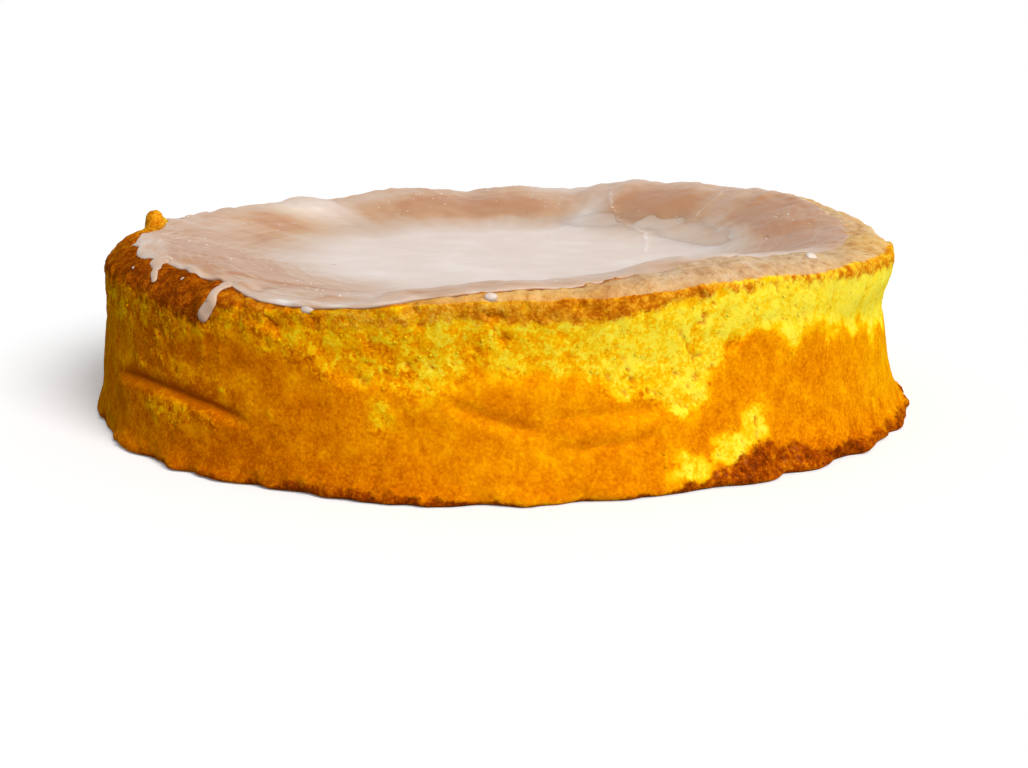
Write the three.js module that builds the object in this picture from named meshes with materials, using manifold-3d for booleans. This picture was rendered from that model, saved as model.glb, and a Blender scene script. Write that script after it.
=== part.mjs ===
// A round glazed sponge cake, in millimetres, with +Z up. It stands on z = 0, centred on the Z axis.
// The baked sponge is one solid: flat underneath, a browned foot that spreads a little, a side with
// creases, a rounded rim and a sunken top. The sugar glaze is a second solid, a thin sheet that fills
// the sunken top, climbs over the rim at the front and runs down the side in drips.
// Angles are in degrees, anticlockwise from +X seen from above: 270 is the front, 180 the left side.
import * as THREE from "three";
import { mergeVertices } from "three/addons/utils/BufferGeometryUtils.js";
import Module from "manifold-3d";

// Driving dimensions
const tinRadius = 115; // the side of a cake baked in a 230 mm tin
const dishFloor = 38; // height of the sunken middle
const dishTurn = 2.4; // how late the sunken top turns up towards the rim
const footReach = 7.5; // height over which the foot's spread fades
const footBevel = 2.2; // rounding where the foot meets the table
const waistDepth = 1.3; // the side draws in a little at mid height
const waistHeight = 32;
const waistSpan = 11;
const lipHeight = 41; // the side's upper edge leans out from just below here
const tornDepth = 0.7; // how far the torn crumb lies behind the baked skin
const glazeFilm = 0.9; // thickness of the glaze on the slopes and the rim
const glazeLevel = 40.2; // height of the glaze that has run together in the middle
const glazeBead = 2.4; // width over which the glaze's edge rounds down
const glazeRoot = 2; // depth to which the uncut sheet reaches into the sponge
const meshGap = 0.3; // clearance between the glaze and the sponge

// How finely the solids are cut
const columns = 160;
const dishRings = [0.5, 0.68, 0.82, 0.92];
const shoulderSteps = 3;
const sideSteps = 17;
const glazeRimRings = 2;
const glazeEdgeRings = 3;
const dripSegments = 10;

// What changes round the cake, as [angle, millimetres]
const rimHeight = around([
  [0, 49.6], [11, 52], [20, 53.1], [31, 54.3], [40, 53.3], [46, 53.9], [55, 53.1], [62, 54], [75, 49.8],
  [88, 49.9], [97, 47.9], [104, 49.4], [113, 49.3], [123, 47], [131, 48.6], [141, 47.7], [152, 47.7],
  [163, 47.6], [180, 48], [205, 48.6], [218, 48.3], [230, 46.2], [242, 44.9], [254, 45.6], [266, 48.4],
  [284, 49.8], [300, 53], [316, 51], [336, 49.4],
]);
const rimRadius = around([
  [0, 105], [45, 106], [90, 108], [140, 107], [168, 106], [188, 104.2], [208, 104.2], [226, 103.5],
  [240, 108.5], [262, 108], [284, 104], [300, 100], [318, 101], [338, 104],
]);
const shoulderDrop = around([
  [0, 4.8], [40, 4.5], [80, 3], [120, 3.6], [165, 4.4], [190, 7], [215, 8.4], [228, 6.8], [238, 3],
  [252, 1.9], [272, 2.2], [286, 3.2], [300, 5.2], [318, 4], [340, 3.4],
]);
const footSpread = around([
  [0, 8.6], [25, 5.4], [70, 6.2], [110, 4.2], [150, 5.6], [190, 4.4], [235, 4], [275, 5.4], [300, 6.2],
  [335, 7.8],
]);
const cragHeight = around([
  [0, 12], [30, 8], [70, 11], [115, 7], [150, 10], [200, 7], [250, 5], [290, 6], [306, 13], [335, 10],
]);
const lipSpread = around([
  [0, 1.7], [25, 0.8], [60, 0.3], [110, 0.5], [160, 0], [200, -0.5], [240, 0], [300, 0.3], [335, 1.2],
]);
const tornHeight = around([
  [0, 25], [25, 33], [50, 22], [80, 30], [105, 36], [140, 24], [165, 33], [195, 40], [232, 42], [246, 36],
  [256, 24.5], [272, 29], [279, 30], [289, 21], [295, 23], [303, 35], [322, 32], [342, 26],
]);

// Folds that the lining pressed into the side. middle and span are degrees, height is the fold's height
// at its middle, climb and bend change it along the fold, and ledge is how far the sponge below stands out.
const creases = [
  { middle: 225, span: 17, height: 19.2, climb: -0.1, bend: -0.012, depth: 1.4, width: 1.3, ledge: 1.4 },
  { middle: 270.5, span: 7, height: 19.5, climb: -0.6, bend: 0.02, depth: 0.9, width: 1.6, ledge: 0.5 },
  { middle: 287, span: 13, height: 20.6, climb: 0.12, bend: 0, depth: 0.8, width: 1.5, ledge: 0.5 },
  { middle: 284.5, span: 7, height: 13.2, climb: 0.15, bend: 0, depth: 0.8, width: 1.3, ledge: 0.3 },
  { middle: 22, span: 16, height: 21, climb: -0.22, bend: 0.01, depth: 1.1, width: 1.5, ledge: 1.2 },
  { middle: 78, span: 22, height: 16, climb: 0.14, bend: -0.01, depth: 1.4, width: 1.6, ledge: 1.6 },
  { middle: 128, span: 15, height: 25, climb: -0.2, bend: 0, depth: 1, width: 1.5, ledge: 0.8 },
  { middle: 166, span: 17, height: 13, climb: 0.16, bend: -0.01, depth: 1.3, width: 1.5, ledge: 1.4 },
];

// Flakes of crust that stand up from the rim: angle, how high, and half their width in degrees
const rimFlakes = [
  { angle: 171, high: 6.2, wide: 1.8 },
  { angle: 186, high: 1, wide: 2.2 },
  { angle: 340, high: 0.7, wide: 2.6 },
];

// Swells and hollows of the sunken crust: angle, way (share of the rim's radius), height, and how far
// each spreads in degrees and in way
const dishSwells = [
  { angle: 96, way: 0.78, high: 1, wide: 14, deep: 0.15 },
  { angle: 69, way: 0.68, high: -0.9, wide: 7, deep: 0.2 },
  { angle: 51, way: 0.8, high: 1.4, wide: 11, deep: 0.16 },
  { angle: 28, way: 0.62, high: -1.3, wide: 11, deep: 0.2 },
  { angle: 10, way: 0.85, high: 1.1, wide: 10, deep: 0.14 },
  { angle: 343, way: 0.72, high: -0.9, wide: 10, deep: 0.2 },
  { angle: 128, way: 0.7, high: -1.1, wide: 9, deep: 0.2 },
  { angle: 149, way: 0.8, high: 1, wide: 9, deep: 0.16 },
  { angle: 172, way: 0.66, high: -0.8, wide: 9, deep: 0.2 },
  { angle: 205, way: 0.75, high: 0.9, wide: 10, deep: 0.2 },
];

// Where the glaze ends: 1 is the crest of the rim, 2 the top of the side
const glazeReach = around([
  [0, 0.99], [20, 1.02], [48, 1.25], [75, 1.1], [100, 1.35], [130, 1.15], [155, 1.2], [174, 0.99],
  [190, 1.04], [209, 1.22], [222, 1.18], [226, 1.18], [230, 1.05], [236, 1.15], [242, 1.5], [250, 1.68],
  [258, 1.66], [266, 1.48], [276, 1.28], [286, 1.14], [300, 1.06], [320, 1.02], [340, 0.99],
]);

// Drips, as beads from the top down: angle, way (2 plus the share of the side), half width in millimetres
const drips = [
  [[215.4, 1.05, 2.6], [216.8, 1.28, 1.8], [219.9, 1.55, 0.9]],
  [[232, 1.02, 2.6], [232.9, 1.35, 1.8], [234, 1.75, 1.5], [233.1, 2, 1.6], [232.1, 2.06, 1.4]],
];

const degree = Math.PI / 180;

// A smooth periodic curve through [angle, value] pairs
function around(marks) {
  const n = marks.length;
  const at = (i) => {
    const turn = Math.floor(i / n);
    const [angle, value] = marks[i - turn * n];
    return [angle + 360 * turn, value];
  };
  const slope = (i) => {
    const [before, after] = [at(i - 1), at(i + 1)];
    return (after[1] - before[1]) / (after[0] - before[0]);
  };
  return (degrees) => {
    const d = ((degrees % 360) + 360) % 360;
    let i = marks.findLastIndex(([angle]) => angle <= d);
    const [a0, v0] = at(i);
    const [a1, v1] = at(i + 1);
    const span = a1 - a0;
    const t = (d - a0) / span;
    const rest = 1 - t;
    return (
      v0 * (1 + 2 * t) * rest * rest + slope(i) * span * t * rest * rest +
      v1 * t * t * (3 - 2 * t) - slope(i + 1) * span * t * t * rest
    );
  };
}

const clamp = (v, low = 0, high = 1) => Math.min(high, Math.max(low, v));

function smooth(low, high, v) {
  const t = clamp((v - low) / (high - low));
  return t * t * (3 - 2 * t);
}

// The shortest way round from one angle to another
function turnBetween(from, to) {
  return ((((to - from) % 360) + 540) % 360) - 180;
}

function chance(i, j, seed) {
  const v = Math.sin(i * 127.1 + j * 311.7 + seed * 74.7) * 43758.5453;
  return v - Math.floor(v);
}

// Lumps of the given size, from -1 to 1, that meet up after a full turn
function lumps(degrees, height, size, seed) {
  const cells = Math.round((2 * Math.PI * tinRadius) / size);
  const x = ((((degrees % 360) + 360) % 360) / 360) * cells;
  const y = height / size;
  const [i, j] = [Math.floor(x), Math.floor(y)];
  const [u, v] = [smooth(0, 1, x - i), smooth(0, 1, y - j)];
  const corner = (di, dj) => chance((i + di) % cells, j + dj, seed);
  const low = corner(0, 0) * (1 - u) + corner(1, 0) * u;
  const high = corner(0, 1) * (1 - u) + corner(1, 1) * u;
  return 2 * (low * (1 - v) + high * v) - 1;
}

// How far the cake is out of round
function wobble(angle) {
  const a = angle * degree;
  return 0.8 * Math.sin(2 * a + 0.6) + 0.5 * Math.sin(3 * a + 2.1) + 0.3 * Math.sin(5 * a + 4);
}

function creaseRelief(angle, z) {
  let relief = 0;
  for (const c of creases) {
    const along = turnBetween(c.middle, angle);
    const fade = smooth(c.span, c.span * 0.55, Math.abs(along));
    if (fade === 0) continue;
    const below = c.height + c.climb * along + c.bend * along * along - z;
    const groove = c.depth * Math.exp(-((below / c.width) ** 2));
    const ledge = below > 0 ? c.ledge * (1 - Math.exp(-below / 1.6)) * Math.exp(-below / 11) : 0;
    relief += fade * (ledge - groove);
  }
  return relief;
}

// The crags fade out above the foot
function cragShare(angle, z) {
  return smooth(cragHeight(angle), 1, z);
}

// How far the side stands out from the tin's radius at one angle and height
function sideRelief(angle, z) {
  const waist = -waistDepth * Math.exp(-(((z - waistHeight) / waistSpan) ** 2));
  const foot = footSpread(angle) * Math.exp(-z / footReach);
  const lip = lipSpread(angle) * smooth(lipHeight - 9, lipHeight, z);
  const crags = (1.5 * lumps(angle, z, 9.5, 3) + 0.8 * lumps(angle, z, 5, 8)) * cragShare(angle, z);
  const edge = clamp(1 - z / footBevel);
  const bevel = footBevel * (1 - Math.sqrt(1 - edge * edge));
  const torn = tornDepth * smooth(-2, 2, z - tornHeight(angle) - 3 * lumps(angle, z, 9, 5));
  const waves = wobble(angle) + 0.35 * lumps(angle, z, 8, 11);
  return waves + waist + foot + lip + crags - bevel - torn + creaseRelief(angle, z);
}

function rimRelief(angle, way) {
  const across = way < 1 ? 12 + (way - 1) * 105 : 12 * way; // millimetres across the rim
  let relief = 0.55 * lumps(angle, across, 7, 21) + 0.3 * lumps(angle, across, 3.4, 23);
  for (const f of rimFlakes) {
    const off = turnBetween(f.angle, angle) / f.wide;
    relief += f.high * Math.exp(-1.3 * Math.abs(off)) * smooth(0.96, 1.1, way) * smooth(1.65, 1.2, way);
  }
  return relief;
}

function dishRelief(angle, way) {
  let relief = 0;
  for (const s of dishSwells) {
    const across = turnBetween(s.angle, angle) / s.wide;
    const along = (way - s.way) / s.deep;
    relief += s.high * Math.exp(-across * across - along * along);
  }
  return relief;
}

// The sponge's surface. way is 0 in the middle of the top, 1 on the crest of the rim, 2 at the top of the
// side and 3 at the foot; lift moves the point off the surface.
function skin(angle, way, lift = 0) {
  const [crest, top] = [rimRadius(angle), rimHeight(angle)];
  const sideTop = top - shoulderDrop(angle);
  let r, z;
  if (way <= 1) {
    const rise = Math.sin((Math.PI / 2) * way ** dishTurn) ** 2;
    r = crest * way;
    z = dishFloor + (top - dishFloor) * rise + lift;
    z += rimRelief(angle, way) * smooth(0.75, 1, way) + dishRelief(angle, way) * smooth(1, 0.8, way);
  } else if (way <= 2) {
    const t = (way - 1) * (Math.PI / 2);
    const edge = tinRadius + sideRelief(angle, sideTop);
    const out = rimRelief(angle, way) * smooth(2, 1.6, way) + lift;
    r = crest + (edge - crest) * Math.sin(t) + out * Math.sin(t);
    z = sideTop + (top - sideTop) * Math.cos(t) + out * Math.cos(t);
  } else {
    z = sideTop * (3 - way);
    r = tinRadius + sideRelief(angle, z) + lift;
  }
  return [r * Math.cos(angle * degree), r * Math.sin(angle * degree), z];
}

// A closed mesh from rings of points, each as long as the next, with a single point at both ends
function closedRings(first, rings, last) {
  const n = rings[0].length;
  const points = [first, ...rings.flat(), last];
  const index = [];
  const at = (ring, i) => 1 + ring * n + (i % n);
  for (let i = 0; i < n; i++) {
    index.push(0, at(0, i), at(0, i + 1));
    for (let k = 0; k + 1 < rings.length; k++) {
      index.push(at(k, i), at(k + 1, i), at(k + 1, i + 1));
      index.push(at(k, i), at(k + 1, i + 1), at(k, i + 1));
    }
    index.push(at(rings.length - 1, i + 1), at(rings.length - 1, i), points.length - 1);
  }
  const geometry = new THREE.BufferGeometry();
  geometry.setAttribute("position", new THREE.Float32BufferAttribute(points.flat(), 3));
  geometry.setIndex(index);
  return geometry;
}

const angles = Array.from({ length: columns }, (_, i) => (360 * i) / columns);

function spongeGeometry(lift = 0) {
  const ways = [...dishRings];
  for (let k = 0; k <= shoulderSteps; k++) ways.push(1 + k / shoulderSteps);
  for (let k = 1; k <= sideSteps; k++) ways.push(2 + k / sideSteps);
  const rings = ways.map((way) => angles.map((angle) => skin(angle, way, lift)));
  return closedRings([0, 0, dishFloor + lift], rings, [0, 0, 0]);
}

// The way at which the glaze's edge starts to round down
function beadStart(angle) {
  const end = glazeReach(angle);
  const perWay = end > 1 ? tinRadius - rimRadius(angle) + shoulderDrop(angle) : rimRadius(angle);
  return end - glazeBead / perWay;
}

// A sheet that follows the sponge, level in the middle, rooted in it so that it can be cut to fit
function glazeGeometry() {
  const lastRing = dishRings.at(-1);
  const ring = (wayAt, film) => angles.map((angle) => skin(angle, wayAt(angle), film));
  const levelled = ([x, y, z]) => [x, y, Math.max(z, glazeLevel)];
  const rimWay = (share) => (angle) => lastRing + (beadStart(angle) - lastRing) * share;
  const top = dishRings.map((way) => ring(() => way, glazeFilm).map(levelled));
  for (let k = 1; k <= glazeRimRings; k++) top.push(ring(rimWay(k / glazeRimRings), glazeFilm));
  for (let k = 1; k <= glazeEdgeRings; k++) {
    const t = k / glazeEdgeRings;
    const [out, down] = [Math.sin((t * Math.PI) / 2), Math.cos((t * Math.PI) / 2)];
    const edgeWay = (angle) => beadStart(angle) + (glazeReach(angle) - beadStart(angle)) * out;
    const film = glazeFilm * down - (k === glazeEdgeRings ? glazeRoot : 0);
    top.push(ring(edgeWay, film));
  }
  const under = [rimWay(0.9), rimWay(0.4), () => 0.8, () => 0.5].map((wayAt) => ring(wayAt, -glazeRoot));
  return closedRings([0, 0, glazeLevel], [...top, ...under], [0, 0, dishFloor - glazeRoot]);
}

const wasm = await Module();
wasm.setup();

function solidFrom(geometry) {
  const merged = mergeVertices(geometry, 1e-4);
  return new wasm.Manifold(
    new wasm.Mesh({
      numProp: 3,
      vertProperties: merged.attributes.position.array,
      triVerts: new Uint32Array(merged.index.array),
    }),
  );
}

function geometryFrom(solid) {
  const mesh = solid.getMesh();
  const geometry = new THREE.BufferGeometry();
  geometry.setAttribute("position", new THREE.BufferAttribute(mesh.vertProperties, 3));
  geometry.setIndex(new THREE.BufferAttribute(mesh.triVerts, 1));
  return geometry;
}

// A drip is a chain of flattened beads, each joined to the next
function dripSolid(stations) {
  const beads = stations.map(([angle, way, wide]) => {
    const bead = wasm.Manifold.sphere(wide, dripSegments);
    return bead.translate(skin(angle, way, glazeFilm + 0.1 - wide * 0.55));
  });
  const links = beads.slice(1).map((bead, i) => wasm.Manifold.hull([beads[i], bead]));
  return wasm.Manifold.union(links);
}

// The glaze is the rooted sheet and its drips, less the sponge grown by the gap
function fittedGlaze() {
  const whole = wasm.Manifold.union([solidFrom(glazeGeometry()), ...drips.map(dripSolid)]);
  const pieces = whole.subtract(solidFrom(spongeGeometry(meshGap))).decompose();
  pieces.sort((a, b) => b.volume() - a.volume());
  return geometryFrom(pieces[0]);
}

const sponge = new THREE.Mesh(
  spongeGeometry(),
  new THREE.MeshStandardMaterial({ color: 0xe9a51a, roughness: 0.85, metalness: 0 }),
);
sponge.name = "sponge";

const glaze = new THREE.Mesh(
  fittedGlaze(),
  new THREE.MeshStandardMaterial({ color: 0xd9c3b4, roughness: 0.35, metalness: 0 }),
);
glaze.name = "glaze";

// The group's frame is centred on the cake's own box
const bounds = new THREE.Box3().setFromObject(sponge);
const centre = bounds.getCenter(new THREE.Vector3());
const cake = new THREE.Group();
for (const piece of [sponge, glaze]) {
  piece.position.set(-centre.x, -centre.y, 0);
  cake.add(piece);
}

export default cake;
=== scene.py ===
import math
import bpy
import numpy as np
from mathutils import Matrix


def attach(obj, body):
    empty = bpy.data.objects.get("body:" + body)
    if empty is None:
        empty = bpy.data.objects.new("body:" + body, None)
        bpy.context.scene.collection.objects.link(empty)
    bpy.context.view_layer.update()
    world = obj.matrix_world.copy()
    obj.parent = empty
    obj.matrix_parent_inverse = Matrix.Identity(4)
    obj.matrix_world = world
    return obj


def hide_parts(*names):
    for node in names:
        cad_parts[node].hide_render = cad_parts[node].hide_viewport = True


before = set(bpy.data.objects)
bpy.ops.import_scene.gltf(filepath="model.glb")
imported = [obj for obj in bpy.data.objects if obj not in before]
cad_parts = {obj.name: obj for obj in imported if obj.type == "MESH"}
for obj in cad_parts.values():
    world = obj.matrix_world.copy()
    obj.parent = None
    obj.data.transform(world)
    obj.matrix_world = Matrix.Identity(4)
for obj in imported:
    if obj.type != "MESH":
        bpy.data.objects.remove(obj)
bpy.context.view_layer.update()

# A glazed sponge cake. Shapes are worked out in millimetres, from angles in degrees anticlockwise from +X:
# 270 is the front, 180 the left side. "way" runs over the crust: 0 in the middle of the top, 1 on the crest
# of the rim, 2 at the top of the side and 3 at the foot.

cakeForm = {
    "middle": (1.3403, 0.417),  # what the whole shape is moved back by, so that its box is centred
    "tinRadius": 115.0,
    "dishFloor": 38.0,
    "dishTurn": 2.4,
    "footReach": 7.5,
    "footBevel": 2.2,
    "waistDepth": 1.3,
    "waistHeight": 32.0,
    "waistSpan": 11.0,
    "lipHeight": 41.0,
    "tornDepth": 0.7,
    "rimHeight": [
        (0, 49.6), (11, 52), (20, 53.1), (31, 54.3), (40, 53.3), (46, 53.9), (55, 53.1), (62, 54),
        (75, 49.8), (88, 49.9), (97, 47.9), (104, 49.4), (113, 49.3), (123, 47), (131, 48.6), (141, 47.7),
        (152, 47.7), (163, 47.6), (180, 48), (205, 48.6), (218, 48.3), (230, 46.2), (242, 44.9),
        (254, 45.6), (266, 48.4), (284, 49.8), (300, 53), (316, 51), (336, 49.4)],
    "rimRadius": [
        (0, 105), (45, 106), (90, 108), (140, 107), (168, 106), (188, 104.2), (208, 104.2), (226, 103.5),
        (240, 108.5), (262, 108), (284, 104), (300, 100), (318, 101), (338, 104)],
    "shoulderDrop": [
        (0, 4.8), (40, 4.5), (80, 3), (120, 3.6), (165, 4.4), (190, 7), (215, 8.4), (228, 6.8), (238, 3),
        (252, 1.9), (272, 2.2), (286, 3.2), (300, 5.2), (318, 4), (340, 3.4)],
    "footSpread": [
        (0, 8.6), (25, 5.4), (70, 6.2), (110, 4.2), (150, 5.6), (190, 4.4), (235, 4), (275, 5.4),
        (300, 6.2), (335, 7.8)],
    "cragHeight": [
        (0, 12), (30, 8), (70, 11), (115, 7), (150, 10), (200, 7), (250, 5), (290, 6), (306, 13),
        (335, 10)],
    "lipSpread": [
        (0, 1.7), (25, 0.8), (60, 0.3), (110, 0.5), (160, 0), (200, -0.5), (240, 0), (300, 0.3),
        (335, 1.2)],
    "tornHeight": [
        (0, 25), (25, 33), (50, 22), (80, 30), (105, 36), (140, 24), (165, 33), (195, 40), (232, 42),
        (246, 36), (256, 24.5), (272, 29), (279, 30), (289, 21), (295, 23), (303, 35), (322, 32),
        (342, 26)],
    # middle, span, height, climb, bend, depth, width, ledge
    "creases": [
        (225, 17, 19.2, -0.1, -0.012, 1.4, 1.3, 1.4), (270.5, 7, 19.5, -0.6, 0.02, 0.9, 1.6, 0.5),
        (287, 13, 20.6, 0.12, 0, 0.8, 1.5, 0.5), (284.5, 7, 13.2, 0.15, 0, 0.8, 1.3, 0.3),
        (22, 16, 21, -0.22, 0.01, 1.1, 1.5, 1.2), (78, 22, 16, 0.14, -0.01, 1.4, 1.6, 1.6),
        (128, 15, 25, -0.2, 0, 1, 1.5, 0.8), (166, 17, 13, 0.16, -0.01, 1.3, 1.5, 1.4)],
    "rimFlakes": [(171, 6.2, 1.8), (186, 1, 2.2), (340, 0.7, 2.6)],  # angle, high, wide
    # angle, way, high, wide, deep
    "dishSwells": [
        (96, 0.78, 1, 14, 0.15), (69, 0.68, -0.9, 7, 0.2), (51, 0.8, 1.4, 11, 0.16),
        (28, 0.62, -1.3, 11, 0.2), (10, 0.85, 1.1, 10, 0.14), (343, 0.72, -0.9, 10, 0.2),
        (128, 0.7, -1.1, 9, 0.2), (149, 0.8, 1, 9, 0.16), (172, 0.66, -0.8, 9, 0.2),
        (205, 0.75, 0.9, 10, 0.2)],
}

insideWide, outsideWide = 105, 14  # millimetres of crust over a way of 1, inside the crest and beyond it


def around(marks, degrees):
    # a smooth curve that meets itself after a full turn
    angle = np.array([mark[0] for mark in marks], float)
    value = np.array([mark[1] for mark in marks], float)
    knots = np.concatenate([angle[-2:] - 360, angle, angle[:2] + 360])
    heights = np.concatenate([value[-2:], value, value[:2]])
    slopes = (heights[2:] - heights[:-2]) / (knots[2:] - knots[:-2])
    turned = np.mod(degrees, 360.0)
    i = np.clip(np.searchsorted(knots, turned, side="right") - 1, 1, len(knots) - 3)
    span = knots[i + 1] - knots[i]
    t = (turned - knots[i]) / span
    rest = 1 - t
    return (heights[i] * (1 + 2 * t) * rest * rest + slopes[i - 1] * span * t * rest * rest
            + heights[i + 1] * t * t * (3 - 2 * t) - slopes[i] * span * t * t * rest)


def smooth(low, high, v):
    t = np.clip((v - low) / (high - low), 0, 1)
    return t * t * (3 - 2 * t)


def turnBetween(start, end):
    return np.mod(end - start + 180, 360) - 180


def chance(i, j, seed):
    v = np.sin(i * 127.1 + j * 311.7 + seed * 74.7) * 43758.5453
    return v - np.floor(v)


def lumps(degrees, height, size, seed):
    # even lumps of the given size, from -1 to 1
    cells = round(2 * np.pi * cakeForm["tinRadius"] / size)
    x = np.mod(degrees, 360) / 360 * cells
    y = height / size + np.zeros_like(x)
    i, j = np.floor(x), np.floor(y)
    u, v = smooth(0, 1, x - i), smooth(0, 1, y - j)

    def corner(di, dj):
        return chance(np.mod(i + di, cells), j + dj, seed)

    low = corner(0, 0) * (1 - u) + corner(1, 0) * u
    high = corner(0, 1) * (1 - u) + corner(1, 1) * u
    return 2 * (low * (1 - v) + high * v) - 1


def ragged(degrees, height, size, seed):
    # lumps with finer lumps on them
    return (lumps(degrees, height, size, seed) + 0.5 * lumps(degrees, height, size * 0.47, seed + 1)
            + 0.3 * lumps(degrees, height, size * 0.21, seed + 2)) / 1.4


def spot(degrees, height, at, wide, middle, high):
    # 1 in the middle of an oval on the crust, falling to 0
    return np.exp(-(turnBetween(at, degrees) / wide) ** 2 - ((height - middle) / high) ** 2)


def wobble(angle):
    a = np.radians(angle)
    return 0.8 * np.sin(2 * a + 0.6) + 0.5 * np.sin(3 * a + 2.1) + 0.3 * np.sin(5 * a + 4)


def creaseFade(angle, crease):
    span = crease[1]
    return 1 - smooth(span * 0.55, span, np.abs(turnBetween(crease[0], angle)))


def belowCrease(angle, z, crease):
    along = turnBetween(crease[0], angle)
    return crease[2] + crease[3] * along + crease[4] * along * along - z


def creaseRelief(angle, z):
    relief = 0
    for crease in cakeForm["creases"]:
        depth, width, ledge = crease[5:]
        below = belowCrease(angle, z, crease)
        under = np.maximum(below, 0)
        groove = depth * np.exp(-((below / width) ** 2))
        relief = relief + creaseFade(angle, crease) * (
            ledge * (1 - np.exp(-under / 1.6)) * np.exp(-under / 11) - groove)
    return relief


def sideTopHeight(angle):
    return around(cakeForm["rimHeight"], angle) - around(cakeForm["shoulderDrop"], angle)


def sideRelief(angle, z):
    form = cakeForm
    waist = -form["waistDepth"] * np.exp(-(((z - form["waistHeight"]) / form["waistSpan"]) ** 2))
    foot = around(form["footSpread"], angle) * np.exp(-z / form["footReach"])
    lip = around(form["lipSpread"], angle) * smooth(form["lipHeight"] - 9, form["lipHeight"], z)
    cragShare = 1 - smooth(1, around(form["cragHeight"], angle), z)
    crags = (1.5 * lumps(angle, z, 9.5, 3) + 0.8 * lumps(angle, z, 5, 8)) * cragShare
    edge = np.clip(1 - z / form["footBevel"], 0, 1)
    bevel = form["footBevel"] * (1 - np.sqrt(1 - edge * edge))
    tornLine = around(form["tornHeight"], angle) + 3 * lumps(angle, z, 9, 5)
    torn = form["tornDepth"] * smooth(-2, 2, z - tornLine)
    waves = wobble(angle) + 0.35 * lumps(angle, z, 8, 11)
    return waves + waist + foot + lip + crags - bevel - torn + creaseRelief(angle, z)


def rimRelief(angle, way):
    across = np.where(way < 1, 12 + (way - 1) * insideWide, 12 * way)  # millimetres across the rim
    relief = 0.55 * lumps(angle, across, 7, 21) + 0.3 * lumps(angle, across, 3.4, 23)
    for at, high, wide in cakeForm["rimFlakes"]:
        off = turnBetween(at, angle) / wide
        near = smooth(0.96, 1.1, way) * (1 - smooth(1.2, 1.65, way))
        relief = relief + high * np.exp(-1.3 * np.abs(off)) * near
    return relief


def dishRelief(angle, way):
    relief = 0
    for at, middle, high, wide, deep in cakeForm["dishSwells"]:
        relief = relief + high * spot(angle, way, at, wide, middle, deep)
    return relief


def skin(angle, way, lift=0.0):
    # the crust's surface in millimetres; lift moves the point off it
    form = cakeForm
    crest, top = around(form["rimRadius"], angle), around(form["rimHeight"], angle)
    sideTop = sideTopHeight(angle)
    inner = np.clip(way, 0, 1)
    rise = np.sin(np.pi / 2 * inner ** form["dishTurn"]) ** 2
    dishR = crest * inner
    dishZ = (form["dishFloor"] + (top - form["dishFloor"]) * rise + lift
             + rimRelief(angle, inner) * smooth(0.75, 1, inner)
             + dishRelief(angle, inner) * (1 - smooth(0.8, 1, inner)))
    over = np.clip(way, 1, 2)
    t = (over - 1) * np.pi / 2
    edge = form["tinRadius"] + sideRelief(angle, sideTop)
    out = rimRelief(angle, over) * (1 - smooth(1.6, 2, over)) + lift
    rimR = crest + (edge - crest + out) * np.sin(t)
    rimZ = sideTop + (top - sideTop + out) * np.cos(t)
    sideZ = sideTop * (3 - np.clip(way, 2, 3))
    sideR = form["tinRadius"] + sideRelief(angle, sideZ) + lift
    r = np.where(way <= 1, dishR, np.where(way <= 2, rimR, sideR))
    z = np.where(way <= 1, dishZ, np.where(way <= 2, rimZ, sideZ))
    a = np.radians(angle)
    return np.stack([r * np.cos(a), r * np.sin(a), z], -1)


def toMetres(points):
    middle = cakeForm["middle"]
    return (np.asarray(points, float) - [middle[0], middle[1], 0]) / 1000


# How far the glaze reaches: angle, way
glazeReach = [
    (0, 0.99), (20, 1.02), (48, 1.25), (75, 1.1), (100, 1.35), (130, 1.15), (155, 1.2), (174, 0.99),
    (190, 1.04), (209, 1.22), (222, 1.18), (226, 1.18), (230, 1.05), (236, 1.15), (242, 1.5), (250, 1.68),
    (258, 1.66), (266, 1.48), (276, 1.28), (286, 1.14), (300, 1.06), (320, 1.02), (340, 0.99)]


def moveAcross(way, millimetres):
    # shifts a way by a length over the crust
    length = (way - 1) * np.where(way < 1, insideWide, outsideWide) + millimetres
    return 1 + length / np.where(length < 0, insideWide, outsideWide)


def glazeEdge(angle):
    reach = around(glazeReach, angle)
    return moveAcross(reach, 0.9 * lumps(angle, 0, 9, 71) + 0.35 * lumps(angle, 0, 3.6, 72))


# Meshes and node trees

def newObject(name, data):
    made = bpy.data.objects.new(name, data)
    bpy.context.collection.objects.link(made)
    return made


def meshFromRings(name, rings, firstPole, lastPole, marks):
    # a closed skin over rings of points, with a pole at both ends; marks are values for each ring point
    count, columns = rings.shape[:2]
    points = np.vstack([[firstPole], rings.reshape(-1, 3), [lastPole]])
    i = np.arange(columns)
    after = (i + 1) % columns
    bands = np.arange(count - 1)[:, None] * columns + 1
    quads = np.stack([bands + i, bands + columns + i, bands + columns + after, bands + after], -1)
    last = (count - 1) * columns + 1
    faces = ([[0, 1 + a, 1 + b] for a, b in zip(i, after)] + quads.reshape(-1, 4).tolist()
             + [[last + b, last + a, len(points) - 1] for a, b in zip(i, after)])
    mesh = bpy.data.meshes.new(name)
    mesh.from_pydata(toMetres(points).tolist(), [], faces)
    mesh.shade_smooth()
    for mark, values in marks.items():
        full = np.concatenate([[values[0].mean()], values.reshape(-1), [values[-1].mean()]])
        mesh.attributes.new(mark, "FLOAT", "POINT").data.foreach_set("value", full.astype(np.float32))
    return newObject(name, mesh)


def addNode(tree, kind, inputs=None, **settings):
    made = tree.nodes.new(kind)
    for name, value in settings.items():
        setattr(made, name, value)
    for key, value in (inputs or {}).items():
        if isinstance(value, bpy.types.NodeSocket):
            tree.links.new(value, made.inputs[key])
        else:
            made.inputs[key].default_value = value
    return made


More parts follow.
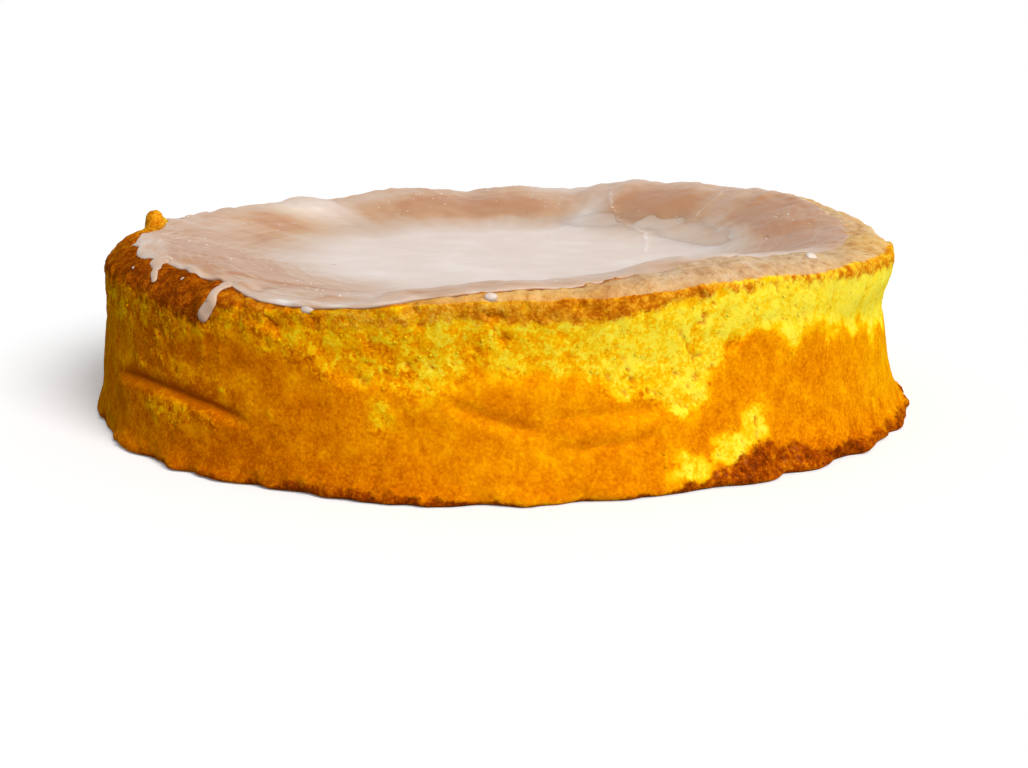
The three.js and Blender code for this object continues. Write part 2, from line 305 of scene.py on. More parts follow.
def mathNode(tree, operation, *values, clamp=False):
    made = addNode(tree, "ShaderNodeMath", dict(enumerate(values)), operation=operation, use_clamp=clamp)
    return made.outputs[0]


def times(tree, a, b):
    return mathNode(tree, "MULTIPLY", a, b)


def timesPlus(tree, a, b, c):
    # a times b, plus c
    return mathNode(tree, "MULTIPLY_ADD", a, b, c)


def plus(tree, a, b):
    return mathNode(tree, "ADD", a, b)


def minus(tree, a, b, clamp=False):
    return mathNode(tree, "SUBTRACT", a, b, clamp=clamp)


def vectorNode(tree, operation, *values):
    return addNode(tree, "ShaderNodeVectorMath", dict(enumerate(values)), operation=operation).outputs[0]


def scaleNode(tree, vector, amount):
    return addNode(tree, "ShaderNodeVectorMath", {0: vector, "Scale": amount}, operation="SCALE").outputs[0]


def rangeNode(tree, value, low, high, toLow=0.0, toHigh=1.0):
    made = addNode(tree, "ShaderNodeMapRange", {0: value, 1: low, 2: high, 3: toLow, 4: toHigh},
                   interpolation_type="SMOOTHSTEP")
    return made.outputs[0]


def mixColour(tree, amount, first, second, blend="MIX"):
    made = addNode(tree, "ShaderNodeMix", {0: amount, 6: first, 7: second}, data_type="RGBA",
                   blend_type=blend)
    return made.outputs[2]


def noiseNode(tree, vector, size, detail=3.0, roughness=0.6):
    # fractal noise with features of the given size, from about 0.25 to 0.75
    isSocket = isinstance(size, bpy.types.NodeSocket)
    scale = mathNode(tree, "DIVIDE", 1.0, size) if isSocket else 1 / size
    made = addNode(tree, "ShaderNodeTexNoise", {"Vector": vector, "Scale": scale, "Detail": detail,
                                                "Roughness": roughness})
    return made.outputs[0]


def frayNode(tree, mark, noise, amount, soft):
    # cuts a soft mark into a ragged patch
    pushed = timesPlus(tree, minus(tree, noise, 0.5), amount, mark)
    return rangeNode(tree, pushed, 0.5 - soft, 0.5 + soft)


def markNode(tree, name):
    # a mark of the mesh, as a shader reads it
    return addNode(tree, "ShaderNodeAttribute", attribute_name=name).outputs["Fac"]


def pointMark(tree, name):
    # a mark of the mesh, as a tree that changes the shape reads it
    return addNode(tree, "GeometryNodeInputNamedAttribute", {"Name": name}, data_type="FLOAT").outputs[0]


def newTree(name, values, outputs=()):
    # a group with an input for each value; with outputs it is for shaders, without them it changes a shape
    tree = bpy.data.node_groups.new(name, "ShaderNodeTree" if outputs else "GeometryNodeTree")

    def socket(socketName, kind, direction="INPUT"):
        return tree.interface.new_socket(socketName, in_out=direction, socket_type="NodeSocket" + kind)

    first = "Vector" if outputs else "Geometry"
    socket(first, first)
    for valueName, value in values.items():
        socket(valueName, "Int" if isinstance(value, int) else "Float").default_value = value
    for output in outputs:
        socket(output, "Float", "OUTPUT")
    if not outputs:
        socket("Finish", "Material")
        socket("Geometry", "Geometry", "OUTPUT")
    return tree, tree.nodes.new("NodeGroupInput").outputs, tree.nodes.new("NodeGroupOutput").inputs


def endTree(tree, shape, given, out):
    # hands the shape on with its material
    joined = addNode(tree, "GeometryNodeRealizeInstances", {"Geometry": shape})
    finished = addNode(tree, "GeometryNodeSetMaterial",
                       {"Geometry": joined.outputs[0], "Material": given["Finish"]})
    tree.links.new(finished.outputs[0], out["Geometry"])
    return tree


def runTree(piece, tree, values, material):
    # runs a tree on a piece and keeps the result as its plain mesh
    modifier = piece.modifiers.new(tree.name, "NODES")
    modifier.node_group = tree
    for item in tree.interface.items_tree:
        if item.item_type == "SOCKET" and item.in_out == "INPUT":
            if item.name == "Finish":
                modifier[item.identifier] = material
            elif item.name in values:
                modifier[item.identifier] = values[item.name]
    seen = piece.evaluated_get(bpy.context.evaluated_depsgraph_get())
    mesh = bpy.data.meshes.new_from_object(seen)
    piece.modifiers.remove(modifier)
    old = piece.data
    piece.data = mesh
    bpy.data.meshes.remove(old)
    mesh.name = piece.name
    return piece


def newFinish(name, **plain):
    # a material with its principled shader's plain values set
    finish = bpy.data.materials.new(name)
    finish.use_nodes = True
    tree = finish.node_tree
    shader = tree.nodes["Principled BSDF"]
    for socketName, value in plain.items():
        shader.inputs[socketName.replace("_", " ")].default_value = value
    place = addNode(tree, "ShaderNodeTexCoord").outputs["Object"]
    return finish, tree, shader, place


def linkShader(tree, shader, values):
    for socketName, value in values.items():
        tree.links.new(value, shader.inputs[socketName])


def bumpNode(tree, height, strength, distance):
    return addNode(tree, "ShaderNodeBump",
                   {"Strength": strength, "Distance": distance, "Height": height}).outputs[0]


def toneRamp(tree, value, tones):
    # tones are (position, colour) from low to high
    ramp = addNode(tree, "ShaderNodeValToRGB", {"Fac": value})
    stops = ramp.color_ramp.elements
    stops[0].position, stops[0].color = tones[0][0], (*tones[0][1], 1)
    stops[1].position, stops[1].color = tones[-1][0], (*tones[-1][1], 1)
    for position, tone in tones[1:-1]:
        stops.new(position).color = (*tone, 1)
    return ramp.outputs[0]


# Camera and light

viewFrom = {"place": (0.003864, -0.4305, 0.1045), "pitchDown": 13.59, "lens": 50.0}
studio = {
    "sunAzimuth": 304, "sunHeight": 38, "sunSoftness": 34, "sunShare": 1.05, "skyShare": 0.26, "skySeen": 1.0,
    "floorSeen": 0.97, "floorBounce": 0.3, "floorLift": 0.15, "floorHalf": 6.0}

camera = newObject("camera", bpy.data.cameras.new("camera"))
camera.location = viewFrom["place"]
camera.rotation_euler = (math.radians(90 - viewFrom["pitchDown"]), 0, 0)
camera.data.lens = viewFrom["lens"]
camera.data.sensor_width = 36
camera.data.clip_start = 0.01
bpy.context.scene.camera = camera
bpy.context.scene.view_settings.view_transform = "Standard"

sun = newObject("windowLight", bpy.data.lights.new("windowLight", "SUN"))
sun.data.energy = studio["sunShare"] * math.pi
sun.data.angle = math.radians(studio["sunSoftness"])
sun.location = (0.6, -0.7, 0.8)
sun.rotation_euler = (math.radians(90 - studio["sunHeight"]), 0, math.radians(studio["sunAzimuth"] + 90))

world = bpy.data.worlds.new("paleRoom")
world.use_nodes = True
bpy.context.scene.world = world
roomTree = world.node_tree
roomTree.nodes.clear()
rayKind = addNode(roomTree, "ShaderNodeLightPath")
skyStrength = timesPlus(roomTree, rayKind.outputs["Is Diffuse Ray"],
                        studio["skyShare"] - studio["skySeen"], studio["skySeen"])
sky = addNode(roomTree, "ShaderNodeBackground", {"Color": (1, 1, 1, 1), "Strength": skyStrength})
addNode(roomTree, "ShaderNodeOutputWorld", {"Surface": sky.outputs[0]})

half = studio["floorHalf"]
floorMesh = bpy.data.meshes.new("floor")
floorMesh.from_pydata([(-half, -half, 0), (half, -half, 0), (half, half, 0), (-half, half, 0)], [],
                      [(0, 1, 2, 3)])
floor = newObject("floor", floorMesh)
floorFinish, floorTree, floorShader = newFinish("paleFloor", Roughness=0.9, Specular_IOR_Level=0.0,
                                                Emission_Color=(1, 1, 1, 1))[:3]
# the floor looks nearly white but throws little light back
onCamera = addNode(floorTree, "ShaderNodeLightPath").outputs["Is Camera Ray"]
floorTone = timesPlus(floorTree, onCamera, studio["floorSeen"] - studio["floorBounce"], studio["floorBounce"])
linkShader(floorTree, floorShader, {
    "Base Color": floorTone, "Emission Strength": times(floorTree, onCamera, studio["floorLift"])})
floorMesh.materials.append(floorFinish)
print("camera, light and floor ready")


# Shader groups that several finishes share

def bakedMottle():
    # broad and fine unevenness of a baked surface
    tree, given, out = newTree("bakedMottle", {"Broad Size": 0.012, "Fine Size": 0.0012}, ("Broad", "Fine"))
    for name in ("Broad", "Fine"):
        noise = noiseNode(tree, given["Vector"], given[name + " Size"], 4.0, 0.62)
        tree.links.new(rangeNode(tree, noise, 0.3, 0.7), out[name])
    return tree


def openCrumb():
    # rounded grains of crumb with ragged hollows between them
    tree, given, out = newTree("openCrumb", {"Grain Size": 0.001, "Hollow Size": 0.0022},
                               ("Height", "Grain", "Hollows"))
    bent = addNode(tree, "ShaderNodeTexNoise", {"Vector": given["Vector"], "Scale": 900.0, "Detail": 2.0})
    shift = vectorNode(tree, "MULTIPLY", bent.outputs[1], (0.0012, 0.0012, 0.0012))
    place = vectorNode(tree, "ADD", given["Vector"], shift)
    scale = mathNode(tree, "DIVIDE", 1.0, given["Grain Size"])
    cells = addNode(tree, "ShaderNodeTexVoronoi", {"Vector": place, "Scale": scale})
    grain = rangeNode(tree, cells.outputs["Distance"], 0.1, 0.75, 1.0, 0.0)
    hollows = rangeNode(tree, noiseNode(tree, place, given["Hollow Size"], 4.0, 0.66), 0.44, 0.33)
    grit = noiseNode(tree, given["Vector"], 0.0005, 3.0, 0.7)
    height = timesPlus(tree, grain, 0.6, times(tree, grit, 0.5))
    height = timesPlus(tree, hollows, -1.3, height)
    for name, value in (("Height", height), ("Grain", grain), ("Hollows", hollows)):
        tree.links.new(value, out[name])
    return tree


mottleGroup = bakedMottle()
crumbGroup = openCrumb()


def placeGroup(tree, group, inputs):
    return addNode(tree, "ShaderNodeGroup", inputs, node_tree=group).outputs


# The baked sponge

spongeLook = {
    "crumbTones": [(0.0, (0.50, 0.11, 0.0005)), (0.15, (0.69, 0.19, 0.0005)), (0.33, (0.84, 0.30, 0.001)),
                   (0.5, (0.94, 0.43, 0.001)), (0.66, (0.96, 0.55, 0.004)), (0.82, (0.97, 0.66, 0.018)),
                   (1.0, (0.98, 0.75, 0.05))],
    "crustTones": [(0.0, (0.20, 0.035, 0.001)), (0.3, (0.44, 0.10, 0.002)), (0.55, (0.66, 0.21, 0.004)),
                   (0.78, (0.84, 0.38, 0.014)), (1.0, (0.94, 0.54, 0.055))],
    "tanTones": [(0.0, (0.54, 0.21, 0.035)), (0.4, (0.70, 0.36, 0.10)), (0.75, (0.80, 0.47, 0.17)),
                 (1.0, (0.86, 0.58, 0.28))],
    "filmTones": [(0.0, (0.47, 0.26, 0.13)), (0.4, (0.59, 0.38, 0.22)), (0.75, (0.65, 0.47, 0.32)),
                  (1.0, (0.68, 0.54, 0.42))],
    "burntTones": [(0.0, (0.17, 0.026, 0.0005)), (0.35, (0.34, 0.058, 0.0007)), (0.6, (0.50, 0.115, 0.001)),
                   (0.8, (0.66, 0.20, 0.004)), (1.0, (0.84, 0.34, 0.015))],
    "pitShadeTone": (0.66, 0.17, 0.001, 1), "creaseShadeTone": (0.48, 0.10, 0.001, 1),
    # what lightens and darkens the crumb: its middle, how much it does so, how much more on torn crumb; the
    # clump and grain shifts are painted light on raised crumb, the hollows shift is painted shade
    "toneAndShadeShifts": {
        "clump": (0, 0.3, 0.6), "fray": (0.5, 0.45, 0.3), "flakes": (0.5, 0, 0.26), "grit": (0.5, 0.42, 0.2),
        "streak": (0.5, 0.4, 0), "hollows": (0, 0, -0.16), "grain": (0.6, 0.12, 0.1)}}


def makeSpongeFinish():
    look = spongeLook
    finish, tree, shader, place = newFinish(
        "bakedSponge", Specular_IOR_Level=0.0, Subsurface_Weight=0.85, Subsurface_Scale=0.0024,
        Subsurface_Radius=(1.0, 1.0, 0.5), Coat_Roughness=0.25)
    mottle = placeGroup(tree, mottleGroup, {"Vector": place, "Broad Size": 0.0075, "Fine Size": 0.0021})
    crumb = placeGroup(tree, crumbGroup, {"Vector": place, "Grain Size": 0.00085, "Hollow Size": 0.0021})
    fray = noiseNode(tree, place, 0.0026, 5.0, 0.7)
    grit = noiseNode(tree, place, 0.0009, 2.0, 0.6)
    clump = markNode(tree, "clump")
    coarse = times(tree, markNode(tree, "open"), markNode(tree, "rough"))
    shades = {"clump": clump, "fray": fray, "grit": grit, "streak": noiseNode(tree, place, 0.0065, 4.0, 0.6),
              "flakes": rangeNode(tree, noiseNode(tree, place, 0.0036, 5.0, 0.7), 0.46, 0.56),
              "hollows": crumb["Hollows"], "grain": crumb["Grain"]}
    tone = markNode(tree, "gold")
    # painted light and shade: raised clumps and grains are made lighter, hollows darker
    for name, (middle, amount, onTorn) in look["toneAndShadeShifts"].items():
        share = timesPlus(tree, coarse, onTorn, amount)
        tone = timesPlus(tree, minus(tree, shades[name], middle), share, tone)
    colour = toneRamp(tree, tone, look["crumbTones"])
    # painted shade: the pits of the crumb are coloured dark orange
    colour = mixColour(tree, times(tree, markNode(tree, "pore"), 0.75), colour, look["pitShadeTone"])
    # painted shade along the crease grooves
    crease = frayNode(tree, markNode(tree, "crease"), fray, 0.9, 0.3)
    colour = mixColour(tree, times(tree, crease, 0.75), colour, look["creaseShadeTone"])

    dryTone = timesPlus(tree, mottle["Fine"], 0.4, times(tree, mottle["Broad"], 0.4))
    tan = frayNode(tree, markNode(tree, "tan"), fray, 0.6, 0.2)
    film = frayNode(tree, markNode(tree, "film"), fray, 0.5, 0.4)
    # painted shade: the dried skin is darkened in its pores
    tanShade = timesPlus(tree, crumb["Hollows"], -0.25, dryTone)  # pores in the dried skin
    tanTone = mixColour(tree, film, toneRamp(tree, tanShade, look["tanTones"]),
                        toneRamp(tree, tanShade, look["filmTones"]))
    colour = mixColour(tree, tan, colour, tanTone)

    def patch(name, clumped, frayed):
        # a ragged patch where the mark is set, broken up by the clumps
        mark = markNode(tree, name)
        cut = frayNode(tree, timesPlus(tree, clump, clumped, mark), fray, frayed, 0.2)
        return times(tree, cut, rangeNode(tree, mark, 0.02, 0.2))

    crust, burnt = patch("crust", 0.9, 1.5), patch("burnt", 0.6, 1.4)
    # painted light and shade: the crust is made lighter on its raised grains and darker between them
    baked = plus(tree, dryTone, timesPlus(tree, crumb["Grain"], 0.3, -0.18))
    crustTone = plus(tree, timesPlus(tree, baked, 0.78, 0.07), markNode(tree, "dry"))
    colour = mixColour(tree, crust, colour, toneRamp(tree, crustTone, look["crustTones"]))
    burntTone = timesPlus(tree, clump, 0.5, baked)
    colour = mixColour(tree, burnt, colour, toneRamp(tree, burntTone, look["burntTones"]))

    sticky = times(tree, burnt, markNode(tree, "sticky"))  # syrup that boiled out at the foot
    glints = times(tree, sticky, rangeNode(tree, grit, 0.52, 0.66, 0.0, 0.05))
    crusted = mathNode(tree, "MAXIMUM", mathNode(tree, "MAXIMUM", tan, crust), burnt)
    bumpShare = timesPlus(tree, crusted, 0.7, timesPlus(tree, coarse, 0.25, 0.25))
    linkShader(tree, shader, {
        "Base Color": colour, "Roughness": timesPlus(tree, sticky, -0.4, 0.85), "Coat Weight": glints,
        "Normal": bumpNode(tree, times(tree, crumb["Height"], bumpShare), 0.5, 0.0005)})
    return finish


spongeFinish = makeSpongeFinish()

spongeCut = {"columns": 900, "rimSteps": 18, "sideSteps": 66, "bottomShares": (0.97, 0.88, 0.65, 0.33),
             "dishWays": (0.15, 0.3, 0.42, 0.52, 0.6, 0.67, 0.73, 0.78, 0.82, 0.86, 0.89, 0.92, 0.94, 0.96,
                          0.98)}
crumbLook = {"Pit Size": 0.0030, "Pit Depth": 0.0009, "Clump Size": 0.0042, "Clump Height": 0.0008,
             "Grain Size": 0.0019, "Grain Height": 0.00042, "Skin Share": 0.25, "Crag Height": 0.0034,
             "Flake Height": 0.0018, "Seed": 4.0}
# angle, half width, height, half height of patches where the skin came away with the lining
tornPatches = [(293.5, 4.5, 27, 9), (304, 2.2, 14, 7), (300, 4, 9, 5), (294, 3.4, 3, 7), (257, 1.8, 20, 6),
               (227, 8, 14, 4), (120, 8, 12, 6), (60, 5, 9, 7), (20, 6, 12, 6), (182, 7, 22, 8)]
# the lists below run round the cake: angle, value
burntHeight = [(0, 3), (30, 4), (70, 6), (110, 3), (150, 4), (200, 1), (236, 1.2), (250, 2.4), (262, 1.6),
               (275, 0.8), (287, 0.8), (296, 2.5), (302, 8), (309, 7.5), (317, 4.2), (328, 3.2), (345, 2.6)]
stickyShare = [(0, 0.5), (60, 0.2), (150, 0.3), (240, 0.3), (280, 0.3), (300, 1), (340, 0.9)]
roughShare = [(0, 0.6), (60, 0.8), (120, 0.7), (180, 0.7), (215, 0.9), (240, 0.95), (262, 0.95),
              (284, 0.85), (300, 0.95), (315, 0.6), (340, 0.5)]
# how far brown crust reaches below the top of the side, and how brown it is there
shoulderDepth = [(0, -3), (140, -3), (165, -1), (185, -3), (200, -6), (209, -4.5), (214, -3), (220, -0.8),
                 (226, 1.2), (232, 1.4), (236, -1.5), (241, -4.5), (248, -7), (262, -8)]
shoulderShare = [(0, 0), (130, 0.3), (165, 0.85), (185, 0.8), (207, 0.85), (220, 1), (234, 0.95),
                 (241, 0.7), (248, 0.2), (262, 0)]
# where the tanned rim ends, where the band of crust under it ends, and how solid that band is
tanEnd = [(0, -2.5), (30, -1), (100, 0), (180, 0), (246, -1.5), (262, -1), (272, -0.6), (286, -1),
          (297, -1.4), (312, -2.2), (328, -4.2), (345, -3.8)]
crustEnd = [(0, 3.2), (30, 3), (90, 3), (150, 4), (200, 2), (240, 2.2), (252, 3.8), (268, 5), (284, 5.2),
            (291, 3.2), (300, 1.8), (312, 1.3), (325, 1.9), (340, 2.9)]
crustShare = [(0, 0.85), (25, 0.7), (60, 0.95), (100, 0.75), (150, 0.9), (200, 0.6), (246, 0.6),
              (262, 0.66), (276, 0.85), (284, 1), (291, 0.9), (300, 0.66), (312, 0.7), (325, 0.85),
              (340, 0.95)]
tanShare = [(0, 1), (30, 0.9), (90, 0.6), (150, 0.5), (185, 0.1), (240, 0.05), (256, 0.3), (270, 0.9),
            (288, 1), (320, 1)]
filmShare = [(0, 0.7), (40, 0.5), (90, 0.4), (180, 0), (262, 0), (274, 0.15), (288, 0.75), (300, 1),
             (326, 0.8), (345, 0.3)]
dryShare = [(0, 0.3), (90, 0.15), (160, 0.15), (171, 0.42), (180, 0.05), (200, -0.22), (232, -0.17),
            (240, 0.1), (250, 0.32), (270, 0.38), (286, 0.24), (300, 0.26), (325, 0.28), (345, 0.3)]
# tones of torn crumb and of skin round the cake, partly the crumb's own tone and partly painted shade and
# light: lower where little light falls on the left and back, higher on the lit right
tornToneAndShade = [(0, 0.74), (40, 0.62), (90, 0.62), (140, 0.52), (190, 0.34), (215, 0.36), (236, 0.46),
            (250, 0.55), (262, 0.68), (276, 0.77), (288, 0.9), (310, 0.99), (335, 1.0)]
skinToneAndShade = [(0, 0.28), (45, 0.32), (90, 0.26), (135, 0.32), (180, 0.2), (205, 0.14), (222, 0.1),
            (236, 0.17), (256, 0.32), (272, 0.38), (288, 0.35), (305, 0.26), (325, 0.25), (342, 0.32)]
footTone = [(0, 0.08), (60, 0.12), (130, 0.12), (185, 0.05), (200, 0), (225, 0), (240, 0.1), (262, 0.14),
            (280, 0.05), (310, 0.1)]
tornDrop = [(0, 0), (60, 3), (120, 0), (180, 4), (200, 9), (224, 11), (240, 5), (256, 0), (300, 0)]


def spongeMarks(angle, way, z):
    # soft shares of torn, tan, brown, creased and burnt crust, which the material cuts into ragged patches
    sideTop = sideTopHeight(angle)
    below = np.where(way <= 2, -(2 - way) * 13, sideTop - z)  # millimetres below the side's top edge
    tornLine = around(cakeForm["tornHeight"], angle) - around(tornDrop, angle)
    torn = smooth(-9, 9, z - tornLine - 5 * ragged(angle, z, 11, 31))
    for at, wide, middle, high in tornPatches:
        torn = np.maximum(torn, 0.95 * spot(angle, z, at, wide, middle, high))
    torn = np.maximum(torn, 0.44 * spot(angle, z, 226, 22, 25, 13))  # half open crumb
    frayed = 1.2 * ragged(angle, z, 6, 41)
    onRim = 1 - smooth(-2.5, 2.5, below - around(tanEnd, angle) + frayed)
    bakedEnd = around(shoulderDepth, angle) - 2.6 * ragged(angle, z, 7, 53)
    baked = around(shoulderShare, angle) * (1 - smooth(-3.2, 3.2, below - bakedEnd))
    bandEnd = around(crustEnd, angle) - 1.6 * ragged(angle, z, 6, 43)
    band = around(crustShare, angle) * smooth(0.1, 0.5, 1 - onRim) * (1 - smooth(-1.8, 1.8, below - bandEnd))
    beyondGlaze = (way - glazeEdge(angle)) * outsideWide
    # a dark brown line just beyond the glaze edge, partly brown crust and partly painted contact shadow
    edgeBrownAndShadow = np.exp(-(beyondGlaze / 0.9) ** 2) * smooth(262, 270, angle) * (1 - smooth(286, 292, angle))
    bare = 0.7 * onRim * (1 - around(tanShare, angle))  # rim that is neither tanned nor glazed
    crust = np.clip(np.maximum(np.maximum(baked, 0.8 * band), np.maximum(bare, 0.8 * edgeBrownAndShadow)), 0, 1)
    crease, shade = 0, 0
    for one in cakeForm["creases"]:
        off = belowCrease(angle, z, one) + 0.9 * ragged(angle, z, 5, 59)
        strength = creaseFade(angle, one) * min(1, one[5] / 1.4) ** 1.5
        # painted shade: a dark line in each crease and a broad darker band around it
        crease = np.maximum(crease, strength * np.exp(-(off / 1.2) ** 2))
        shade = np.maximum(shade, strength * np.exp(-((off + 1.5) / 5) ** 2))
    burntTop = around(burntHeight, angle) + 1.8 * ragged(angle, z, 5, 61)
    burnt = (1 - smooth(-2.5, 2.5, z - burntTop)) * (way > 2)
    torn = torn * (1 - 0.85 * smooth(0.45, 1, onRim)) * (1 - burnt) * (1 - 0.8 * baked)
    low = around(skinToneAndShade, angle) + 0.06 * ragged(angle, z, 16, 67) - 0.1 * shade
    low = low - around(footTone, angle) * (1 - smooth(4, 16, z))
    flecked = smooth(0.28, 0.72, torn + 0.45 * ragged(angle, z, 5, 69))
    # gold carries the painted shade and light of the tones round the cake
    gold = low + (around(tornToneAndShade, angle) - low) * (0.3 * torn + 0.7 * flecked)
    marks = {"torn": torn, "gold": gold, "tan": onRim * around(tanShare, angle), "crust": crust,
             "crease": crease * (way > 2), "burnt": burnt}
    shares = {"dry": dryShare, "film": filmShare, "rough": roughShare, "sticky": stickyShare}
    marks.update({name: np.broadcast_to(around(share, angle), z.shape) for name, share in shares.items()})
    # the line beyond the glaze edge is darkened further, partly painted contact shadow
    marks["dry"] = marks["dry"] - 0.3 * edgeBrownAndShadow
    marks["film"] = marks["film"] * (0.55 + 0.45 * np.exp(-np.maximum(0, beyondGlaze) / 5))
    return marks


def crumbRelief():
    # lifts clumps and grains where the crumb is torn, opens pits, and breaks the burnt foot into crags
    tree, given, out = newTree("crumbRelief", crumbLook)
    place = addNode(tree, "GeometryNodeInputPosition").outputs[0]
    seeded = vectorNode(tree, "ADD", vectorNode(tree, "MULTIPLY", place, (1, 1, 0.85)), given["Seed"])

    def noise(size, detail):
        return minus(tree, noiseNode(tree, seeded, size, detail), 0.5)

    def high(part):
        # noise reaches half of its height up and half down
        return times(tree, given[part + " Height"], 2.0)

    clump, rough = noise(given["Clump Size"], 2.0), pointMark(tree, "rough")
    torn = rangeNode(tree, timesPlus(tree, clump, 1.5, pointMark(tree, "torn")), 0.32, 0.68)
    hollow = rangeNode(tree, noise(given["Pit Size"], 2.0), -0.085, -0.17)
    gathered = rangeNode(tree, noise(0.013, 1.0), -0.05, 0.06)
    openShare = times(tree, timesPlus(tree, torn, 0.75, 0.25), rough)
    pit = times(tree, hollow, times(tree, gathered, openShare))
    loose = timesPlus(tree, torn, minus(tree, rough, given["Skin Share"]), given["Skin Share"])
    grains = times(tree, noise(given["Grain Size"], 1.0), high("Grain"))
    rise = times(tree, plus(tree, times(tree, clump, high("Clump")), grains), loose)
    rise = timesPlus(tree, pit, times(tree, given["Pit Depth"], -1.0), rise)
    rise = timesPlus(tree, pointMark(tree, "burnt"), times(tree, noise(0.0042, 2.0), high("Crag")), rise)
    dried = timesPlus(tree, pointMark(tree, "tan"), 0.35, pointMark(tree, "crust"))
    rise = timesPlus(tree, dried, times(tree, noise(0.0048, 2.0), high("Flake")), rise)
    bottom = rangeNode(tree, addNode(tree, "ShaderNodeSeparateXYZ", {0: place}).outputs[2], 0.0002, 0.0022)
    rise = times(tree, times(tree, rise, bottom), pointMark(tree, "free"))
    push = scaleNode(tree, addNode(tree, "GeometryNodeInputNormal").outputs[0], rise)
    shape = given["Geometry"]
    for name, value in (("open", torn), ("pore", pit), ("clump", clump)):
        inputs = {"Geometry": shape, "Name": name, "Value": value}
        shape = addNode(tree, "GeometryNodeStoreNamedAttribute", inputs, data_type="FLOAT",
                        domain="POINT").outputs[0]
    pushed = addNode(tree, "GeometryNodeSetPosition", {"Geometry": shape, "Offset": push})
    return endTree(tree, pushed.outputs[0], given, out)


def makeSponge():
    cut = spongeCut
    ways = list(cut["dishWays"]) + [1 + k / cut["rimSteps"] for k in range(cut["rimSteps"] + 1)]
    ways += [2 + k / cut["sideSteps"] for k in range(1, cut["sideSteps"] + 1)]
    angle, way = np.meshgrid(np.arange(cut["columns"]) * 360 / cut["columns"], ways)
    covered = 1 - smooth(0.9, 0.99, way)  # under the glaze it lies lower, so that it never shows through
    rings = skin(angle, way, -0.5 * covered)
    marks = spongeMarks(angle, way, rings[..., 2])
    marks["free"] = 1 - covered
    under = [rings[-1] * [share, share, 1] for share in cut["bottomShares"]]
    rings = np.concatenate([rings, under])
    for name, values in marks.items():
        below = [values[-1] * (0.8 if name in ("burnt", "free", "gold", "rough") else 0)] * len(under)
        marks[name] = np.concatenate([values, below])
    piece = meshFromRings("sponge_baked", rings, (0, 0, cakeForm["dishFloor"] - 0.5), (0, 0, 0), marks)
    return runTree(piece, crumbRelief(), crumbLook, spongeFinish)


sponge = makeSponge()
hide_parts("sponge")
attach(sponge, "root")
print("sponge baked:", len(sponge.data.polygons), "faces")


# Loose crumbs that cling to the torn side

crumbScatter = {"values": {"Density": 32000.0, "Size": 0.00036, "Seed": 11}, "ballSteps": 1, "dentScale": 1.7,
                "mostTurn": (6.28, 6.28, 6.28), "least": 0.45, "most": 1.35}


def randomNode(tree, least, most, seed):
    # one random number for each point, or three where the most is a vector
    isVector = isinstance(most, tuple)
    inputs = {0: least, 1: most} if isVector else {2: least, 3: most}
    made = addNode(tree, "FunctionNodeRandomValue", {**inputs, "Seed": seed},
                   data_type="FLOAT_VECTOR" if isVector else "FLOAT")
    return made.outputs[0 if isVector else 1]


def strew(name, source, scatter, makeShare, finish):
    # strews small dented balls over a copy of a piece, and keeps only them
    tree, given, out = newTree(name, scatter["values"])
    density = times(tree, given["Density"], makeShare(tree))
    points = addNode(tree, "GeometryNodeDistributePointsOnFaces",
                     {"Mesh": given["Geometry"], "Density": density, "Seed": given["Seed"]})
    ball = addNode(tree, "GeometryNodeMeshIcoSphere", {"Radius": 1.0, "Subdivisions": scatter["ballSteps"]})
    place = addNode(tree, "GeometryNodeInputPosition").outputs[0]
    dent = addNode(tree, "ShaderNodeTexNoise", {"Vector": place, "Scale": scatter["dentScale"]}).outputs[1]
    bent = vectorNode(tree, "SUBTRACT", dent, (0.5, 0.5, 0.5))
    lump = addNode(tree, "GeometryNodeSetPosition", {"Geometry": ball.outputs[0], "Offset": bent})
    size = randomNode(tree, scatter["least"], scatter["most"], given["Seed"])
    copies = addNode(tree, "GeometryNodeInstanceOnPoints",
                     {"Points": points.outputs["Points"], "Instance": lump.outputs[0],
                      "Rotation": randomNode(tree, (0, 0, 0), scatter["mostTurn"], given["Seed"]),
                      "Scale": scaleNode(tree, size, given["Size"])})
    endTree(tree, copies.outputs[0], given, out)
    return runTree(newObject(name, source.data.copy()), tree, scatter["values"], finish)


def makeCrumbFinish():
    finish, tree, shader, place = newFinish("looseCrumb", Specular_IOR_Level=0.0, Roughness=0.95,
                                            Subsurface_Weight=0.6, Subsurface_Scale=0.0015,
                                            Subsurface_Radius=(1.0, 1.0, 0.5))
    mottle = placeGroup(tree, mottleGroup, {"Vector": place, "Broad Size": 0.006, "Fine Size": 0.0009})
    # the gold mark brings the painted shade and light of the side with it
    tone = timesPlus(tree, mottle["Fine"], 0.25, plus(tree, markNode(tree, "gold"), -0.12))
    crumb = placeGroup(tree, crumbGroup, {"Vector": place, "Grain Size": 0.0004, "Hollow Size": 0.001})
    linkShader(tree, shader, {"Base Color": toneRamp(tree, tone, spongeLook["crumbTones"]),
                              "Normal": bumpNode(tree, crumb["Height"], 0.5, 0.0003)})
    return finish


def crumbShare(tree):
    # crumbs cling to torn, rough crumb, outside the pores and off the crust
    bare = minus(tree, pointMark(tree, "open"), times(tree, pointMark(tree, "pore"), 2.0), clamp=True)
    bare = minus(tree, bare, times(tree, pointMark(tree, "crust"), 2.0), clamp=True)
    return times(tree, bare, pointMark(tree, "rough"))


crumbs = strew("sponge_crumbs", sponge, crumbScatter, crumbShare, makeCrumbFinish())
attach(crumbs, "root")
print("crumbs scattered:", len(crumbs.data.polygons), "faces")


# The sugar glaze

